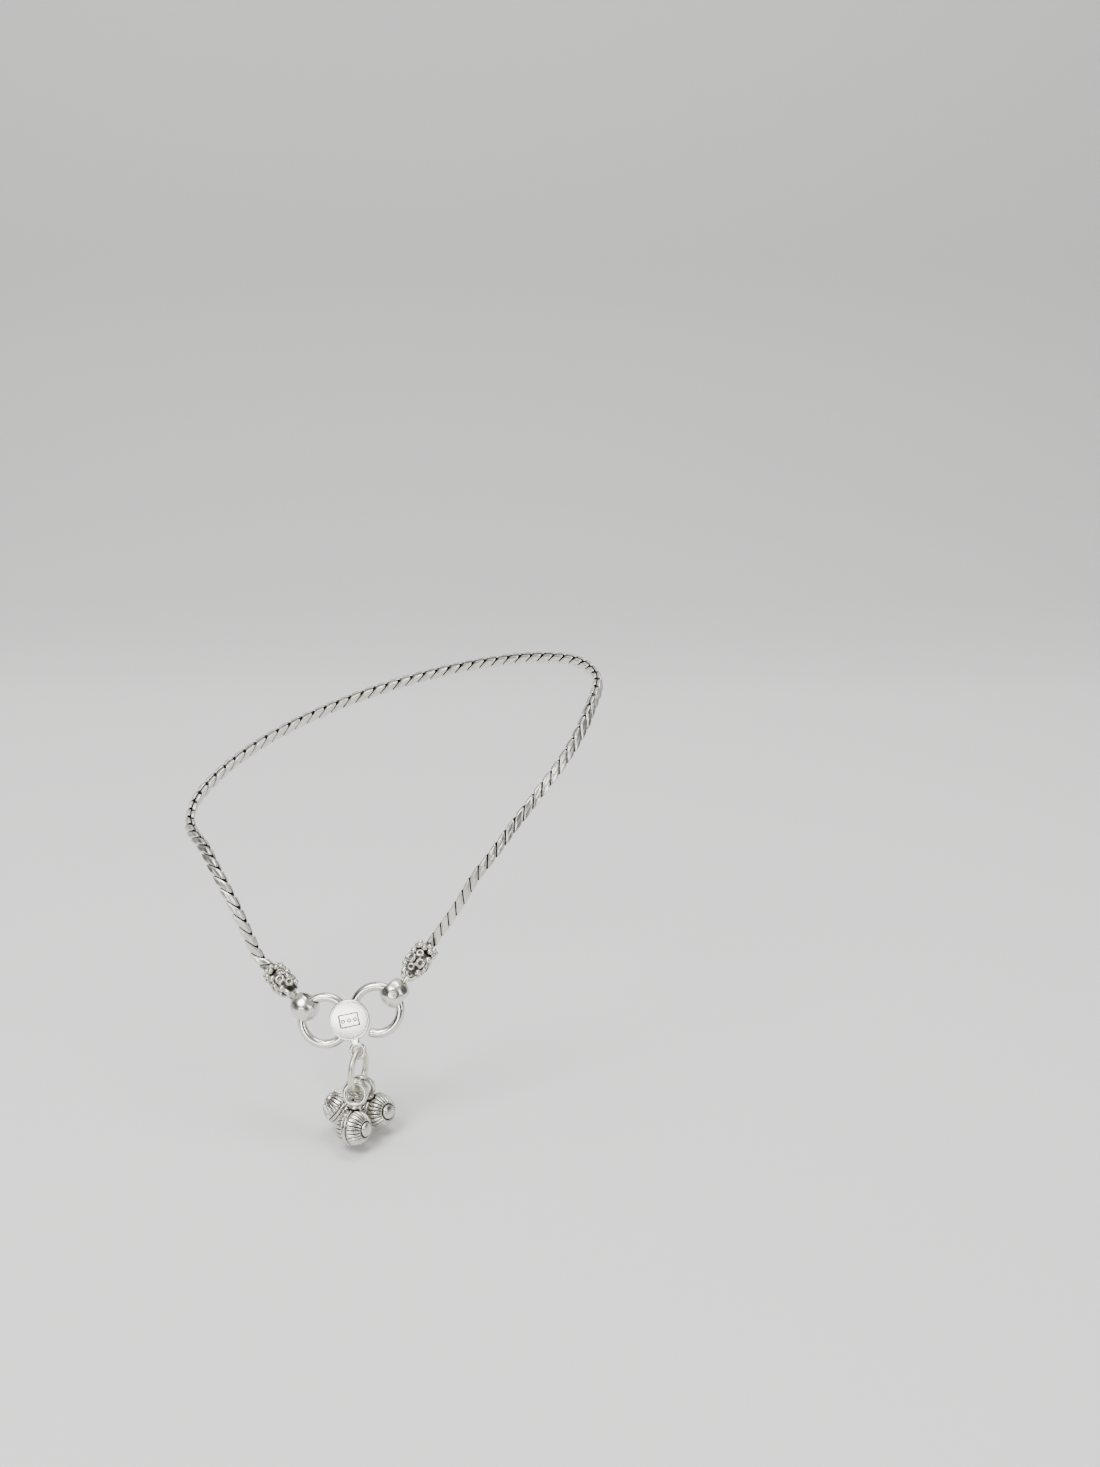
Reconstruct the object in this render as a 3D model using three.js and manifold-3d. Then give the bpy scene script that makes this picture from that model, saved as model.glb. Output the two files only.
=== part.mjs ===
// Payal anklet in oxidised silver, drawn as it hangs round an ankle.
// Millimetres, +Z up. The wearer's toes point along +X and the clasp side faces -Y.
// The origin is the middle of the hollow that the ankle fills.
import * as THREE from "three";
import { mergeVertices } from "three/addons/utils/BufferGeometryUtils.js";
import Module from "manifold-3d";

const wasm = await Module();
wasm.setup();

// Fits between pieces that touch on the real anklet
const CLEARANCE = 0.15;
const SOLDER = 0.3; // how deep one soldered part sits in the next

// Chain: a tight curb chain, filed flat on its four sides
const LINK_LENGTH = 4.72;
const LINK_WIRE = 0.75;
const LINK_LAP = 0.03; // how far the links' bows bite into each other
const LINK_SPREAD = 1.7; // between the middles of a link's two sides, front to back
const LINK_SLANT = 1.4; // how far each side leans across the chain's wide face
const CHAIN_WIDTH = 2.2;
const CHAIN_THICKNESS = 1.9;
const CHAIN_LEAD = 0.65; // the chain's straight run outside a cap
const FACE_ALONG = 80; // half axes of the oval that the chain's wide face turns away from
const FACE_ACROSS = 31;
const FACE_LIFT = 0.35; // how far the wide face looks up

// Facets
const LINK_STEPS = 10;
const LINK_WIRE_SIDES = 5;
const RING_STEPS = 16;
const SMALL_RING_STEPS = 12;
const WIRE_SIDES = 6;
const BEND_STEPS = 8;
const BEND_WIRE_SIDES = 5;
const BEAD_SIDES = 12;
const BEAD_ROWS = 4;
const CAP_SIDES = 10;
const STUD_SIDES = 5;

// The chain's way from the left cap over the heel and round the far side to the right cap
const CHAIN_ROUTE = [
  [-27.6, -20.6, -36.5],
  [-29.8, -20.0, -31.9],
  [-32.1, -19.2, -26.3],
  [-34.7, -17.6, -21.5],
  [-37.3, -14.8, -17.9],
  [-40.2, -10.5, -14.9],
  [-43.3, -5.6, -13.8],
  [-45.1, -0.6, -12.7],
  [-44.9, 6.3, -10.6],
  [-40.5, 14.0, -6.6],
  [-31.0, 22.5, -1.4],
  [-17.0, 28.6, 4.2],
  [0.0, 31.0, 9.8],
  [17.0, 28.6, 14.6],
  [30.5, 22.0, 18.0],
  [38.7, 15.6, 19.2],
  [42.3, 10.4, 18.8],
  [43.9, 5.2, 17.9],
  [43.6, 0.4, 16.6],
  [42.2, -4.6, 14.6],
  [40.5, -9.0, 11.7],
  [38.1, -13.0, 8.4],
  [35.4, -16.6, 5.3],
  [32.3, -19.8, 2.1],
  [29.1, -22.4, -1.5],
  [25.6, -24.2, -5.7],
  [22.1, -25.2, -10.5],
  [18.4, -25.6, -15.4],
  [14.8, -25.6, -21.7],
];

// Clasp centre: two rings side by side, a disc over their joint and an eye below it
const CLASP_AT = [-7.5, -32.0, -43.6];
const CLASP_TILT = 14; // degrees, right ring higher
const CLASP_YAW = 5; // degrees, right ring nearer to the viewer
const CLASP_LEAN = 18; // degrees, rings' tops farther from the viewer
const RING_OUTER = 11.6;
const RING_WIRE = 1.9;
const RING_JOINT_LAP = 0.45;
const RING_GAP_FROM = 238; // degrees, where the right ring's cut end stops short of the disc
const RING_GAP_SPAN = 22;
const DISC_DIAMETER = 8.5;
const DISC_THICKNESS = 0.9;
const DISC_DOME = 0.2;
const DISC_BEVEL = 0.3;
const DISC_SIDE = -0.25; // from the rings' joint
const DISC_DROP = -0.78;
const TAIL_LENGTH = 0.45;
const TAIL_WIDTH = 1.6;
const TAIL_LEAN = 3;
const EYE_OUTER = 3.7;
const EYE_WIRE = 0.9;
const STAMP_WIDTH = 4.1;
const STAMP_HEIGHT = 2.7;
const STAMP_DEPTH = 0.14;
const PIP_DIAMETER = 0.6;
const PIP_SPACING = 1.27;
const PIPS = 3;

// Beads: hammered hollow shells that slide on the rings, each with an eye
const BEAD_DIAMETER = 6.3;
const BEAD_LENGTH = 4.6;
const BEAD_WALL = 0.35;
const BEAD_LIP = 0.035; // flat width of the rim round the bore
const BEAD_EYE_WIRE = 0.72;
const BEAD_EYE_WIDTH = 2.1; // between the centres of the eye's legs

// Caps: studded barrels that hold the chain's ends, each with a bail
const BAIL_WIRE = 1.04;
const BAIL_OUTER_WIDTH = 3.7;
const CAP_LENGTH = 6.6;
const CAP_BARREL = 4.1;
const CAP_COLLAR = 3.9;
const CAP_COLLAR_LENGTH = 1.5;
const CAP_GROOVE = 3.3;
const CAP_GROOVE_LENGTH = 0.4;
const CAP_END = 3.0;
const CAP_WIDEST_FROM = 0.25; // shares of the barrel's length, from the bail
const CAP_WIDEST_TO = 0.8;
const SOCKET_DEPTH = 2.3;
const STUD_DIAMETER = 1.8;
const STUD_HEIGHT = 0.5;
const STUDS_PER_ROW = 6;
const STUD_ROWS = 3;
const GRAIN_DIAMETER = 1.2;
const GRAIN_OUT = 0.1; // a grain's middle stands this far outside the collar
const GRAINS = 8;

// Drop: a round jump ring in the eye, with three bells strung on it
const DROP_RING_OUTER = 9.4;
const DROP_RING_WIRE = 1.3;
const DROP_RING_TURN = 16; // degrees, from edge-on to the viewer
const BELL_DIAMETER = 7.6;
const BELL_GAP = 0.2;
const BELL_NECK = 0.35;
const BELL_NECK_WIDTH = 1.55;
const BELL_LOOP_OUTER = 5.5;
const BELL_LOOP_WIRE = 1.1;
const BELL_SEAM_WIDTH = 0.5;
const BELL_BOSS_DIAMETER = 3.3;
const BELL_FLUTES = 12;
const BELL_FLUTE_DEPTH = 0.2;
const BELL_FLUTE_RAMP = 8; // degrees of arc in which a flute reaches its depth

// seat: place on the jump ring in loop widths from its lowest point, positive to the back.
// across, back: the ball's centre from the ring's centre in ball radii.
// loopTurn, poleTurn: degrees round the bell's own stalk.
const BELLS = [
  { name: "bell_front", seat: -1.57, across: -0.21, back: -1.15, loopTurn: -6, poleTurn: 69 },
  { name: "bell_left", seat: 0.0, across: -1.09, back: 0.6, loopTurn: -7, poleTurn: -92 },
  { name: "bell_right", seat: 1.15, across: 0.9, back: 0.55, loopTurn: -6, poleTurn: 70 },
];

// How each side of the clasp is strung
const SIDES = [
  { name: "left", ring: -1, ringAngle: 134.5, pull: [-0.64, 0.68, 0.36], bail: "edge_on" },
  { name: "right", ring: 1, ringAngle: 31, pull: [0.561, 0.562, 0.607], bail: "face_on" },
];

const polished = { color: 0xd9d7d0, metalness: 1.0, roughness: 0.22 };
const oxidised = { color: 0xb4b1a9, metalness: 1.0, roughness: 0.38 };
const degrees = THREE.MathUtils.degToRad;

// Solids and meshes
function solidOf(geometry) {
  const bare = geometry.clone();
  bare.deleteAttribute("normal");
  bare.deleteAttribute("uv");
  const merged = mergeVertices(bare, 1e-5);
  return new wasm.Manifold(
    new wasm.Mesh({
      numProp: 3,
      vertProperties: new Float32Array(merged.attributes.position.array),
      triVerts: new Uint32Array(merged.index.array),
    }),
  );
}

function joined(geometries) {
  return geometries.map(solidOf).reduce((whole, next) => whole.add(next));
}

function meshOf(name, solid, look) {
  const made = solid.getMesh();
  const geometry = new THREE.BufferGeometry();
  geometry.setAttribute("position", new THREE.Float32BufferAttribute(made.vertProperties, 3));
  geometry.setIndex(Array.from(made.triVerts));
  geometry.computeVertexNormals();
  const mesh = new THREE.Mesh(geometry, new THREE.MeshStandardMaterial(look));
  mesh.name = name;
  return mesh;
}

function polygon(radius, sides) {
  const corners = [];
  for (let i = 0; i < sides; i++) {
    const angle = (2 * Math.PI * i) / sides;
    corners.push(new THREE.Vector2(radius * Math.cos(angle), radius * Math.sin(angle)));
  }
  return new THREE.Shape(corners);
}

function wireAlong(curve, wire, sides, steps) {
  return new THREE.ExtrudeGeometry(polygon(wire / 2, sides), { steps, extrudePath: curve });
}

function lathed(points, sides) {
  const profile = points.map(([radius, height]) => new THREE.Vector2(radius, height));
  return new THREE.LatheGeometry(profile, sides).rotateX(Math.PI / 2);
}

function wireThrough(points, wire) {
  const path = new THREE.CurvePath();
  for (let i = 1; i < points.length; i++) {
    path.add(new THREE.LineCurve3(points[i - 1], points[i]));
  }
  return wireAlong(path, wire, BEND_WIRE_SIDES, BEND_STEPS);
}

// A group whose own x and z axes lie along the given directions
function framed(origin, xAxis, zAxis) {
  const z = zAxis.clone().normalize();
  const x = xAxis.clone().addScaledVector(z, -xAxis.dot(z)).normalize();
  const y = z.clone().cross(x);
  const group = new THREE.Group();
  group.position.copy(origin);
  group.quaternion.setFromRotationMatrix(new THREE.Matrix4().makeBasis(x, y, z));
  group.updateMatrixWorld(true);
  return group;
}

// Clasp centre, in its own frame: x along the two rings, y away from the viewer, z up
const ringRadius = (RING_OUTER - RING_WIRE) / 2;
const ringReach = RING_OUTER / 2 - RING_JOINT_LAP / 2;
const discRadius = DISC_DIAMETER / 2;
const plateFront = -(RING_WIRE / 2 - SOLDER + DISC_THICKNESS);
const plateMiddle = plateFront + DISC_THICKNESS / 2;
const eyeRadius = (EYE_OUTER - EYE_WIRE) / 2;
const tailSpan = discRadius + TAIL_LENGTH + EYE_OUTER / 2;
const tailAngle = degrees(TAIL_LEAN);
const eyeSide = DISC_SIDE + tailSpan * Math.sin(tailAngle);
const eyeDrop = DISC_DROP - tailSpan * Math.cos(tailAngle);

class Arc extends THREE.Curve {
  constructor(radius, from, span) {
    super();
    this.radius = radius;
    this.from = from;
    this.span = span;
  }
  getPoint(t, target = new THREE.Vector3()) {
    const angle = this.from + t * this.span;
    return target.set(this.radius * Math.cos(angle), 0, this.radius * Math.sin(angle));
  }
}

function closedRing() {
  return new THREE.TorusGeometry(ringRadius, RING_WIRE / 2, WIRE_SIDES, RING_STEPS)
    .rotateX(Math.PI / 2);
}

function openRing() {
  const from = degrees(RING_GAP_FROM);
  const span = 2 * Math.PI - degrees(RING_GAP_SPAN);
  return wireAlong(new Arc(ringRadius, from, span), RING_WIRE, WIRE_SIDES, RING_STEPS);
}

function discPlate() {
  const half = DISC_THICKNESS / 2;
  const profile = [
    [0, -half],
    [discRadius, -half],
    [discRadius, half - DISC_BEVEL],
    [discRadius - DISC_BEVEL, half],
    [0, half + DISC_DOME],
  ];
  return lathed(profile, RING_STEPS).rotateX(Math.PI / 2);
}

function stampPunch() {
  const floor = plateFront - DISC_DOME + STAMP_DEPTH;
  const middle = floor - DISC_THICKNESS / 2;
  const punch = new THREE.BoxGeometry(STAMP_WIDTH, DISC_THICKNESS, STAMP_HEIGHT)
    .translate(0, middle, 0);
  const pips = [];
  for (let i = 0; i < PIPS; i++) {
    const pip = new THREE.CylinderGeometry(PIP_DIAMETER / 2, PIP_DIAMETER / 2, DISC_THICKNESS, 6)
      .translate((i - (PIPS - 1) / 2) * PIP_SPACING, middle, 0);
    pips.push(pip);
  }
  return solidOf(punch).subtract(joined(pips));
}

function tail() {
  const length = TAIL_LENGTH + SOLDER + EYE_WIRE / 2;
  const middle = discRadius - SOLDER + length / 2;
  return new THREE.BoxGeometry(TAIL_WIDTH, DISC_THICKNESS, length)
    .translate(0, plateMiddle, -middle)
    .rotateY(-tailAngle)
    .translate(DISC_SIDE, 0, DISC_DROP);
}

function claspCentre() {
  const eye = new THREE.TorusGeometry(eyeRadius, EYE_WIRE / 2, WIRE_SIDES, SMALL_RING_STEPS)
    .rotateX(Math.PI / 2)
    .translate(eyeSide, plateMiddle, eyeDrop);
  const metal = joined([
    closedRing().translate(-ringReach, 0, 0),
    openRing().translate(ringReach, 0, 0),
    discPlate().translate(DISC_SIDE, plateMiddle, DISC_DROP),
    tail(),
    eye,
  ]);
  return metal.subtract(stampPunch().translate([DISC_SIDE, 0, DISC_DROP]));
}

const anklet = new THREE.Group();
const clasp = new THREE.Group();
clasp.position.set(...CLASP_AT);
clasp.rotation.set(-degrees(CLASP_LEAN), -degrees(CLASP_TILT), -degrees(CLASP_YAW), "ZXY");
clasp.add(meshOf("clasp_centre", claspCentre(), polished));
clasp.updateMatrixWorld(true);
anklet.add(clasp);

// Bead: a shell with a wide bore along the ring, and a staple eye toward the cap
const beadRadius = BEAD_DIAMETER / 2;
const flatness = Math.cos(Math.PI / BEAD_SIDES); // a faceted bore is narrower across its flats
const boreRadius = Math.sqrt(beadRadius ** 2 - (BEAD_LENGTH / 2) ** 2) - BEAD_LIP;
const rimTilt = Math.asin(BEAD_LENGTH / 2 / ringRadius);
const rimSagitta = ringRadius * (1 - Math.cos(rimTilt));
const beadOffset = boreRadius * flatness - rimSagitta - RING_WIRE / 2 / Math.cos(rimTilt) - CLEARANCE;
const bailSeat = beadRadius + CLEARANCE + BAIL_WIRE / 2;
const beadEyeWireAt = bailSeat + BAIL_WIRE / 2 + CLEARANCE + BEAD_EYE_WIRE / 2;

function shellArc(radius, from, to) {
  const points = [];
  for (let i = 0; i <= BEAD_ROWS; i++) {
    const z = from + ((to - from) * i) / BEAD_ROWS;
    points.push([Math.sqrt(radius ** 2 - z ** 2), z]);
  }
  return points;
}

function beadShell() {
  const half = BEAD_LENGTH / 2;
  const innerRadius = beadRadius - BEAD_WALL;
  const innerHalf = Math.sqrt(innerRadius ** 2 - boreRadius ** 2);
  const outside = shellArc(beadRadius, -half, half);
  const inside = shellArc(innerRadius, innerHalf, -innerHalf);
  return lathed([...outside, ...inside, outside[0]], BEAD_SIDES);
}

function beadEye() {
  const bend = BEAD_EYE_WIDTH / 2;
  const shoulder = beadEyeWireAt - bend;
  const foot = Math.sqrt((beadRadius - BEAD_WALL / 2) ** 2 - bend ** 2);
  const points = [new THREE.Vector3(0, -bend, foot)];
  for (let i = 0; i <= BEND_STEPS; i++) {
    const angle = (Math.PI * i) / BEND_STEPS;
    points.push(new THREE.Vector3(0, -bend * Math.cos(angle), shoulder + bend * Math.sin(angle)));
  }
  points.push(new THREE.Vector3(0, bend, foot));
  return wireThrough(points, BEAD_EYE_WIRE);
}

function beadSolid(boreAxis) {
  const turn = new THREE.Quaternion().setFromUnitVectors(new THREE.Vector3(0, 0, 1), boreAxis);
  const shell = beadShell().applyQuaternion(turn);
  return joined([shell, beadEye()]);
}

// Cap, in its own frame: z from the bead to the chain, the bail in the xz plane
const capStart = beadEyeWireAt + BEAD_EYE_WIRE / 2 + CLEARANCE;
const capTop = capStart + CAP_LENGTH;
const socketFlat = Math.hypot(CHAIN_WIDTH, CHAIN_THICKNESS) / 2 + CLEARANCE;
const socketRadius = socketFlat / Math.cos(Math.PI / CAP_SIDES);
const barrelLength = CAP_LENGTH - CAP_COLLAR_LENGTH - CAP_GROOVE_LENGTH;

function capBody() {
  const barrelEnd = capStart + barrelLength;
  const collarStart = barrelEnd + CAP_GROOVE_LENGTH;
  const profile = [
    [0, capStart],
    [CAP_END / 2, capStart],
    [CAP_BARREL / 2, capStart + barrelLength * CAP_WIDEST_FROM],
    [CAP_BARREL / 2, capStart + barrelLength * CAP_WIDEST_TO],
    [CAP_GROOVE / 2, barrelEnd],
    [CAP_GROOVE / 2, collarStart],
    [CAP_COLLAR / 2, collarStart],
    [CAP_COLLAR / 2, capTop],
    [socketRadius, capTop],
    [socketRadius, capTop - SOCKET_DEPTH],
    [0, capTop - SOCKET_DEPTH],
  ];
  return lathed(profile, CAP_SIDES);
}

function studs() {
  const pieces = [];
  const studRadius = STUD_DIAMETER / 2;
  const studHeight = STUD_HEIGHT + SOLDER;
  const rowStep = barrelLength / STUD_ROWS;
  for (let row = 0; row < STUD_ROWS; row++) {
    const z = capStart + rowStep * (row + 0.5);
    const out = row === 0 ? (CAP_END + CAP_BARREL) / 4 : CAP_BARREL / 2;
    const reach = out + STUD_HEIGHT - SOLDER / 2;
    for (let i = 0; i < STUDS_PER_ROW; i++) {
      const angle = (2 * Math.PI * (i + (row % 2) / 2)) / STUDS_PER_ROW;
      const stud = new THREE.CylinderGeometry(studRadius, studRadius, studHeight, STUD_SIDES)
        .rotateZ(-Math.PI / 2)
        .translate(reach - STUD_HEIGHT / 2, 0, z)
        .rotateZ(angle);
      pieces.push(stud);
    }
  }
  return pieces;
}

function grains() {
  const pieces = [];
  const z = capTop - CAP_COLLAR_LENGTH / 2;
  for (let i = 0; i < GRAINS; i++) {
    const grain = new THREE.OctahedronGeometry(GRAIN_DIAMETER / 2)
      .translate(CAP_COLLAR / 2 + GRAIN_OUT, 0, z)
      .rotateZ((2 * Math.PI * i) / GRAINS);
    pieces.push(grain);
  }
  return pieces;
}

function bail() {
  const bend = (BAIL_OUTER_WIDTH - BAIL_WIRE) / 2;
  const rise = Math.min(bend, capStart - bailSeat);
  const points = [new THREE.Vector3(-bend, 0, capStart + SOLDER)];
  for (let i = 0; i <= BEND_STEPS; i++) {
    const angle = (Math.PI * i) / BEND_STEPS;
    const height = bailSeat + rise * (1 - Math.sin(angle));
    points.push(new THREE.Vector3(-bend * Math.cos(angle), 0, height));
  }
  points.push(new THREE.Vector3(bend, 0, capStart + SOLDER));
  return wireThrough(points, BAIL_WIRE);
}

function capSolid() {
  return joined([capBody(), bail(), ...studs(), ...grains()]);
}

// Each side: the bead on its ring, pulled toward the chain, then the cap
const chainEnds = [];
const chainStarts = [];
for (const side of SIDES) {
  const angle = degrees(side.ringAngle);
  const out = new THREE.Vector3(Math.cos(angle), 0, Math.sin(angle));
  const centre = out.clone().multiplyScalar(ringRadius + beadOffset);
  centre.x += side.ring * ringReach;
  const along = new THREE.Vector3(-Math.sin(angle), 0, Math.cos(angle));
  along.transformDirection(clasp.matrixWorld);
  const pull = new THREE.Vector3(...side.pull).normalize();
  const viewer = new THREE.Vector3(0, 1, 0);
  const bailAcross = side.bail === "edge_on" ? viewer : viewer.clone().cross(pull);
  const strung = framed(clasp.localToWorld(centre), bailAcross, pull);
  const boreAxis = along.applyQuaternion(strung.quaternion.clone().invert());
  strung.add(meshOf(`bead_${side.name}`, beadSolid(boreAxis), polished));
  strung.add(meshOf(`cap_${side.name}`, capSolid(), oxidised));
  anklet.add(strung);
  chainStarts.push(strung.localToWorld(new THREE.Vector3(0, 0, capTop - SOCKET_DEPTH + CLEARANCE)));
  chainEnds.push(strung.localToWorld(new THREE.Vector3(0, 0, capTop + CHAIN_LEAD)));
}

// Chain: links on the route, each one turned with its wide face away from the ankle
const routePoints = [
  chainStarts[0],
  chainEnds[0],
  ...CHAIN_ROUTE.map((point) => new THREE.Vector3(...point)),
  chainEnds[1],
  chainStarts[1],
];
const route = new THREE.CatmullRomCurve3(routePoints, false, "centripetal");
route.arcLengthDivisions = 2000;

function linkGeometry() {
  const wire = LINK_WIRE / 2;
  const halfLength = (LINK_LENGTH - LINK_WIRE) / 2;
  const geometry = new THREE.TorusGeometry(1, wire, LINK_WIRE_SIDES, LINK_STEPS);
  const place = geometry.attributes.position;
  const facing = new THREE.Vector3(0, 1, 0);
  let index = 0;
  for (let j = 0; j <= LINK_WIRE_SIDES; j++) {
    const around = (2 * Math.PI * (j % LINK_WIRE_SIDES)) / LINK_WIRE_SIDES + Math.PI;
    for (let i = 0; i <= LINK_STEPS; i++) {
      const t = (2 * Math.PI * ((i % LINK_STEPS) + 0.5)) / LINK_STEPS;
      const centre = new THREE.Vector3(
        halfLength * Math.cos(t),
        (LINK_SLANT / 2) * Math.sin(2 * t),
        (LINK_SPREAD / 2) * Math.sin(t),
      );
      const heading = new THREE.Vector3(
        -halfLength * Math.sin(t),
        LINK_SLANT * Math.cos(2 * t),
        (LINK_SPREAD / 2) * Math.cos(t),
      ).normalize();
      const outward = heading.clone().cross(facing).normalize();
      const upward = outward.clone().cross(heading);
      const point = centre
        .addScaledVector(outward, wire * Math.cos(around))
        .addScaledVector(upward, wire * Math.sin(around));
      point.y = THREE.MathUtils.clamp(point.y, -CHAIN_WIDTH / 2, CHAIN_WIDTH / 2);
      point.z = THREE.MathUtils.clamp(point.z, -CHAIN_THICKNESS / 2, CHAIN_THICKNESS / 2);
      place.setXYZ(index, point.x, point.y, point.z);
      index += 1;
    }
  }
  return geometry;
}

function chainSolid() {
  const length = route.getLength();
  const longestPitch = LINK_LENGTH - 2 * LINK_WIRE + LINK_LAP;
  const links = Math.ceil((length - LINK_LENGTH) / longestPitch) + 1;
  const pitch = (length - LINK_LENGTH) / (links - 1);
  const pieces = [];
  for (let i = 0; i < links; i++) {
    const u = (LINK_LENGTH / 2 + i * pitch) / length;
    const middle = route.getPointAt(u);
    const ahead = route.getTangentAt(u);
    const outward = new THREE.Vector3(middle.x / FACE_ALONG ** 2, middle.y / FACE_ACROSS ** 2, 0);
    outward.normalize().setZ(FACE_LIFT);
    outward.addScaledVector(ahead, -outward.dot(ahead)).normalize();
    const across = outward.clone().cross(ahead);
    const frame = new THREE.Matrix4().makeBasis(ahead, across, outward).setPosition(middle);
    pieces.push(linkGeometry().applyMatrix4(frame));
  }
  return joined(pieces);
}

anklet.add(meshOf("chain", chainSolid(), oxidised));

// Drop: the jump ring hangs on the eye's lowest wire, the bells on the ring's lowest part
const downhill = new THREE.Vector3(0, 0, -1).applyQuaternion(clasp.quaternion.clone().invert());
downhill.setY(0).setLength(eyeRadius);
const eyeLow = new THREE.Vector3(eyeSide, plateMiddle, eyeDrop).add(downhill);
const dropRadius = (DROP_RING_OUTER - DROP_RING_WIRE) / 2;
const dropCentre = clasp.localToWorld(eyeLow);
dropCentre.z += (EYE_WIRE + DROP_RING_WIRE) / 2 + CLEARANCE - dropRadius;
const dropTurn = Math.PI / 2 - degrees(DROP_RING_TURN);
const ringBack = new THREE.Vector3(Math.cos(dropTurn), Math.sin(dropTurn), 0);

const dropWire = new THREE.TorusGeometry(dropRadius, DROP_RING_WIRE / 2, WIRE_SIDES, RING_STEPS)
  .rotateX(Math.PI / 2);
const dropRing = meshOf("drop_ring", solidOf(dropWire), polished);
dropRing.position.copy(dropCentre);
dropRing.rotation.z = dropTurn;
anklet.add(dropRing);

const bellRadius = BELL_DIAMETER / 2;
const loopRadius = (BELL_LOOP_OUTER - BELL_LOOP_WIRE) / 2;
const loopHang = loopRadius - (BELL_LOOP_WIRE + DROP_RING_WIRE) / 2 - CLEARANCE;
const bellStalk = loopRadius + BELL_LOOP_WIRE / 2 + BELL_NECK + bellRadius;

// Bell ball: flutes run from the seam's raised band to a smooth boss at each pole
function bellRows() {
  const boss = Math.asin(BELL_BOSS_DIAMETER / BELL_DIAMETER);
  const seam = Math.PI / 2 - Math.asin(BELL_SEAM_WIDTH / BELL_DIAMETER);
  const ramp = degrees(BELL_FLUTE_RAMP);
  const half = [
    { polar: 0, flute: 0 },
    { polar: boss, flute: 0 },
    { polar: boss + ramp, flute: 1 },
    { polar: (boss + seam) / 2, flute: 1 },
    { polar: seam - ramp, flute: 1 },
    { polar: seam, flute: 0 },
  ];
  const far = half.map((row) => ({ polar: Math.PI - row.polar, flute: row.flute })).reverse();
  return [...half, ...far];
}

function bellBall(poleTurn) {
  const rows = bellRows();
  const last = rows.length - 1;
  const sides = BELL_FLUTES * 2;
  const geometry = new THREE.SphereGeometry(bellRadius, sides, last);
  const place = geometry.attributes.position;
  for (let j = 0; j <= last; j++) {
    const row = rows[j];
    const width = j === 0 || j === last ? 0 : Math.sin(row.polar);
    for (let i = 0; i <= sides; i++) {
      const turn = (2 * Math.PI * (i % sides)) / sides;
      const radius = bellRadius - row.flute * (i % 2) * BELL_FLUTE_DEPTH;
      const x = -radius * width * Math.cos(turn);
      const z = radius * width * Math.sin(turn);
      place.setXYZ(j * (sides + 1) + i, x, radius * Math.cos(row.polar), z);
    }
  }
  return geometry.rotateZ(degrees(poleTurn));
}

function bellSolid(poleTurn) {
  const loop = new THREE.TorusGeometry(loopRadius, BELL_LOOP_WIRE / 2, WIRE_SIDES, SMALL_RING_STEPS)
    .rotateX(Math.PI / 2);
  const neckRadius = BELL_NECK_WIDTH / 2;
  const neck = new THREE.CylinderGeometry(neckRadius, neckRadius, BELL_NECK + 2 * SOLDER, WIRE_SIDES)
    .rotateX(Math.PI / 2)
    .translate(0, 0, -(loopRadius + BELL_LOOP_WIRE / 2 + BELL_NECK / 2));
  const ball = bellBall(poleTurn).translate(0, 0, -bellStalk);
  return joined([loop, neck, ball]);
}

for (const bell of BELLS) {
  const seat = (bell.seat * (BELL_LOOP_WIRE + CLEARANCE)) / dropRadius;
  const seatPoint = dropCentre.clone()
    .addScaledVector(ringBack, dropRadius * Math.sin(seat))
    .add(new THREE.Vector3(0, 0, -dropRadius * Math.cos(seat)));
  const spread = bellRadius + BELL_GAP / 2;
  const ballAt = new THREE.Vector3(bell.across * spread, bell.back * spread, 0).add(dropCentre);
  const reach = loopHang + bellStalk;
  const sideways = Math.hypot(ballAt.x - seatPoint.x, ballAt.y - seatPoint.y);
  ballAt.z = seatPoint.z - Math.sqrt(reach ** 2 - sideways ** 2);
  const stalkUp = seatPoint.clone().sub(ballAt).normalize();
  const loopCentre = seatPoint.clone().addScaledVector(stalkUp, -loopHang);
  const ringHeading = ringBack.clone().multiplyScalar(Math.cos(seat));
  ringHeading.z = Math.sin(seat);
  const loopFacing = ringHeading.applyAxisAngle(stalkUp, -degrees(bell.loopTurn));
  const hung = framed(loopCentre, loopFacing.cross(stalkUp), stalkUp);
  hung.add(meshOf(bell.name, bellSolid(bell.poleTurn), oxidised));
  anklet.add(hung);
}

export default anklet;
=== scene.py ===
"""Payal anklet in oxidised silver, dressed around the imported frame.

Lengths are millimetres until a mesh is made, and then metres.
"""
import math

import bpy
import numpy as np
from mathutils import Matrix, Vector


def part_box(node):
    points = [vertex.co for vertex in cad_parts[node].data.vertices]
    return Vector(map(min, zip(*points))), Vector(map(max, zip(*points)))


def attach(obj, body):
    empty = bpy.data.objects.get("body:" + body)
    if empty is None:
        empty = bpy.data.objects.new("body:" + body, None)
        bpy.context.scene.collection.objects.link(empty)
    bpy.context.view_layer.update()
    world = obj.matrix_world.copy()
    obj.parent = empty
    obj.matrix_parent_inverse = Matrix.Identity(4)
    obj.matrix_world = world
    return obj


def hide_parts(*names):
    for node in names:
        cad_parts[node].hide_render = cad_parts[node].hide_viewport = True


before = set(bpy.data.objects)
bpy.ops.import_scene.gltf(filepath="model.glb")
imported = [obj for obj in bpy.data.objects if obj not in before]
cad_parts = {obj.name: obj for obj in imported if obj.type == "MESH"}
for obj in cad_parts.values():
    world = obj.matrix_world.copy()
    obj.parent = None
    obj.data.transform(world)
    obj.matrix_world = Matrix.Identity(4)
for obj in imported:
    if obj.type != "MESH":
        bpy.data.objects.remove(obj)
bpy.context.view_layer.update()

MM = 0.001
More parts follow.
